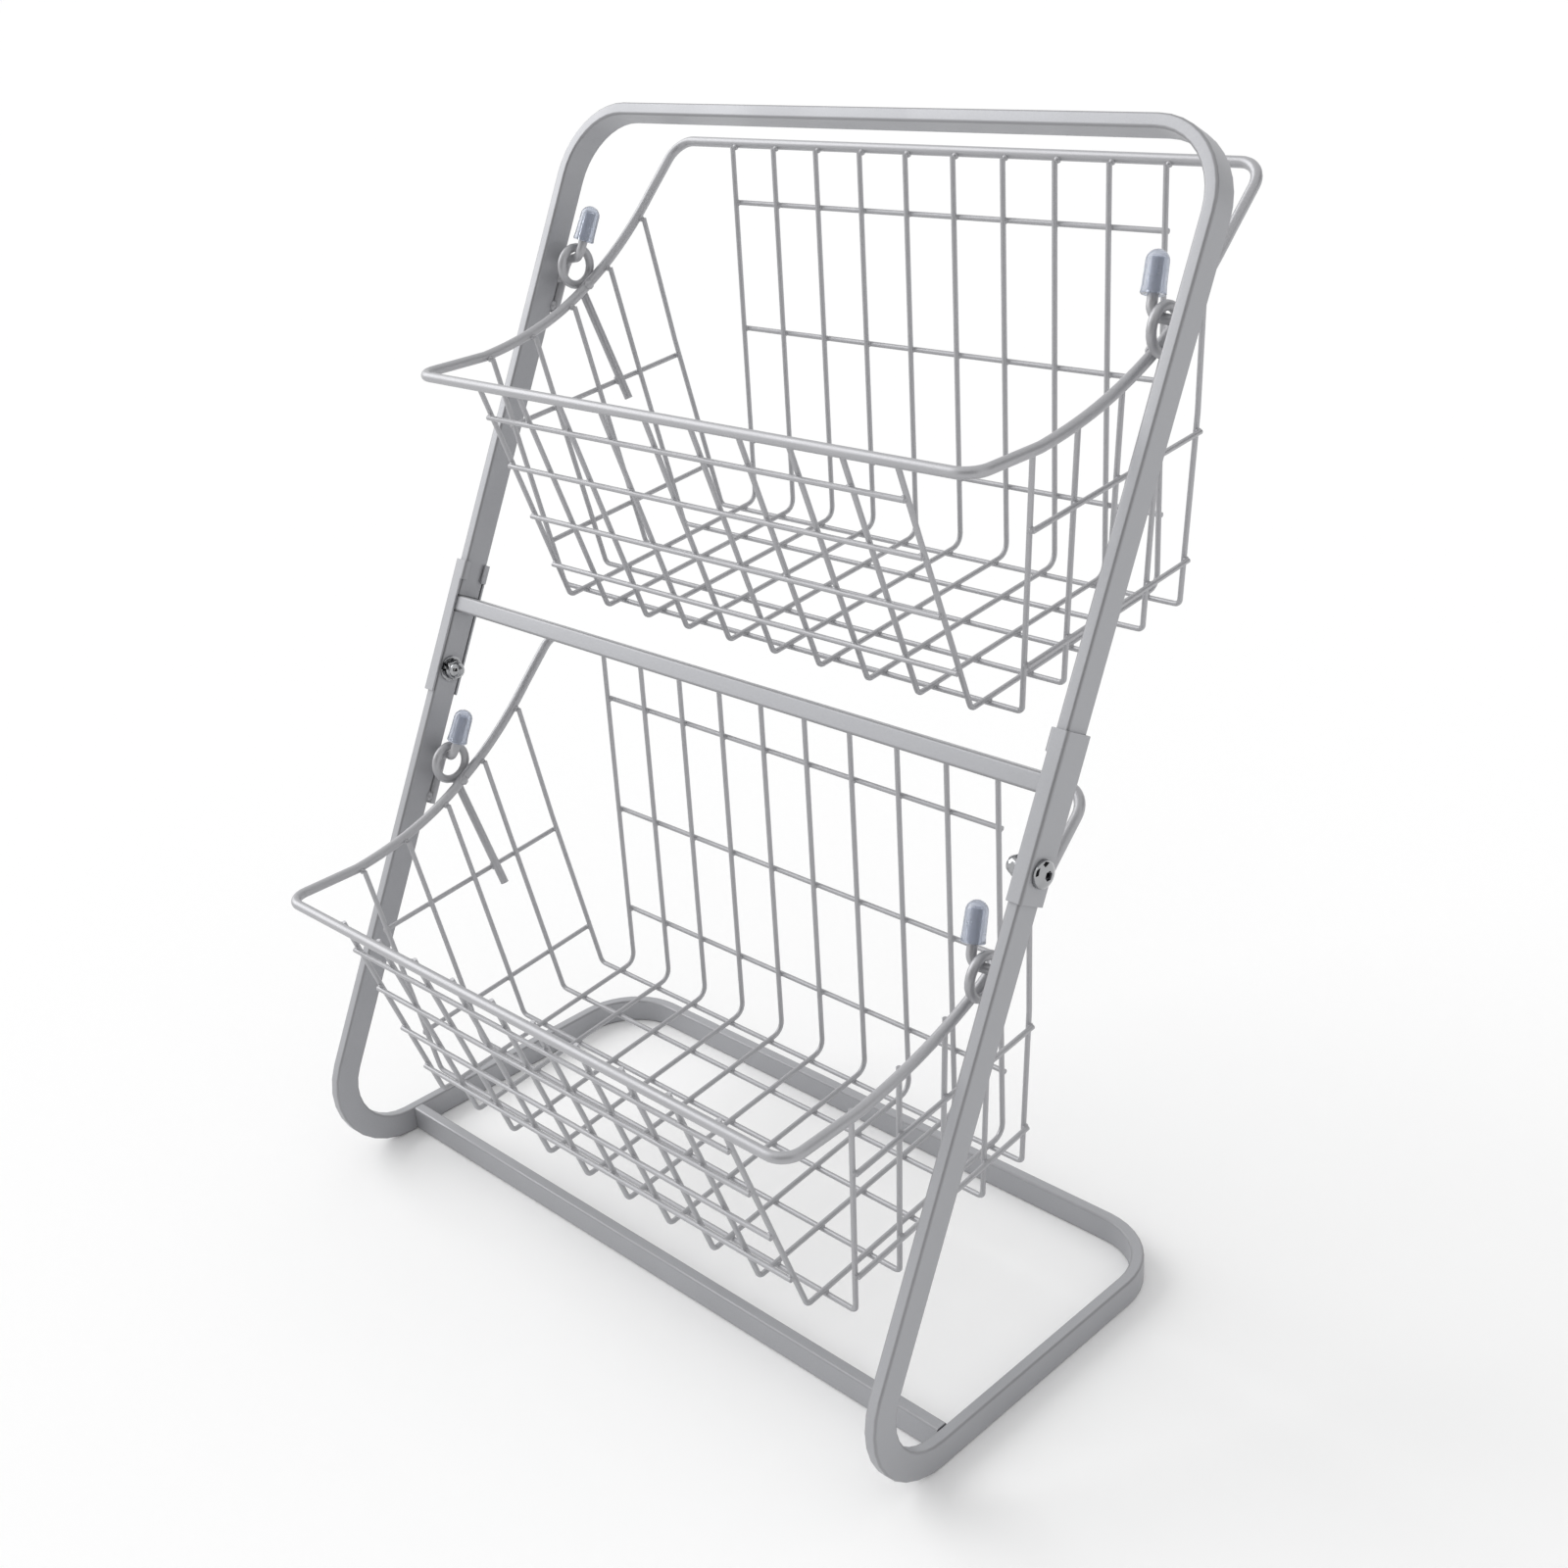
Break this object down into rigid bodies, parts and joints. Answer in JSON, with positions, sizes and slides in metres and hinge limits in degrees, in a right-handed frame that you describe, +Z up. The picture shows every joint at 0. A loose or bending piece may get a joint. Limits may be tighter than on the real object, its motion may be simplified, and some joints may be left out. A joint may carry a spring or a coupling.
{
  "type": "two-tier wire basket stand",
  "caption": "Two-tier fruit and kitchen stand: a leaning bent-tube frame that carries two hanging open wire baskets on capped pegs.",
  "frame": {"origin": "on the floor, under the middle of the base's back rail", "axes": "+Z up, +Y towards the back, +X to the right for someone who faces the baskets"},
  "size_m": [0.4108, 0.316, 0.5301],
  "materials": {
    "powder_coat": "satin light warm grey powder coat on steel",
    "chrome": "polished",
    "clear_vinyl": "clear soft vinyl, slightly cloudy"
  },
  "bodies": {
    "frame": {"front_bar": "powder_coat", "left_bolt": "chrome", "left_nut": "chrome", "left_sleeve": "powder_coat", "left_washer": "chrome", "lower_frame": "powder_coat", "lower_left_cap": "clear_vinyl", "lower_left_peg": "powder_coat", "lower_right_cap": "clear_vinyl", "lower_right_peg": "powder_coat", "middle_bar": "powder_coat", "right_bolt": "chrome", "right_nut": "chrome", "right_sleeve": "powder_coat", "right_washer": "chrome"},
    "hoop": {"hoop": "powder_coat", "upper_left_cap": "clear_vinyl", "upper_left_peg": "powder_coat", "upper_right_cap": "clear_vinyl", "upper_right_peg": "powder_coat"},
    "upper_basket": {"upper_crosswise_wire_2": "powder_coat", "upper_crosswise_wire_3": "powder_coat", "upper_crosswise_wire_4": "powder_coat", "upper_front_and_back_rails": "powder_coat", "upper_left_hanger": "powder_coat", "upper_lengthwise_wire_2": "powder_coat", "upper_lengthwise_wire_3": "powder_coat", "upper_lengthwise_wire_4": "powder_coat", "upper_lengthwise_wire_5": "powder_coat", "upper_lengthwise_wire_6": "powder_coat", "upper_lengthwise_wire_7": "powder_coat", "upper_lengthwise_wire_8": "powder_coat", "upper_lengthwise_wire_9": "powder_coat", "upper_right_hanger": "powder_coat", "upper_rim": "powder_coat", "upper_side_rails": "powder_coat"},
    "lower_basket": {"lower_crosswise_wire_2": "powder_coat", "lower_crosswise_wire_3": "powder_coat", "lower_crosswise_wire_4": "powder_coat", "lower_front_and_back_rails": "powder_coat", "lower_left_hanger": "powder_coat", "lower_lengthwise_wire_2": "powder_coat", "lower_lengthwise_wire_3": "powder_coat", "lower_lengthwise_wire_4": "powder_coat", "lower_lengthwise_wire_5": "powder_coat", "lower_lengthwise_wire_6": "powder_coat", "lower_lengthwise_wire_7": "powder_coat", "lower_lengthwise_wire_8": "powder_coat", "lower_lengthwise_wire_9": "powder_coat", "lower_right_hanger": "powder_coat", "lower_rim": "powder_coat", "lower_side_rails": "powder_coat"}
  },
  "joints": [
    {"name": "hoop_lift", "type": "slide", "parent": "frame", "child": "hoop", "axis": [0, 0.4555, 0.8902], "range_m": [0, 0.018]},
    {"name": "upper_basket_swing", "type": "hinge", "parent": "hoop", "child": "upper_basket", "pos_m": [0, 0.0085, 0.45552], "axis": [1, 0, 0], "range_deg": [-80, 28]},
    {"name": "lower_basket_swing", "type": "hinge", "parent": "frame", "child": "lower_basket", "pos_m": [0, -0.11426, 0.21562], "axis": [1, 0, 0], "range_deg": [-80, 28]}
  ]
}
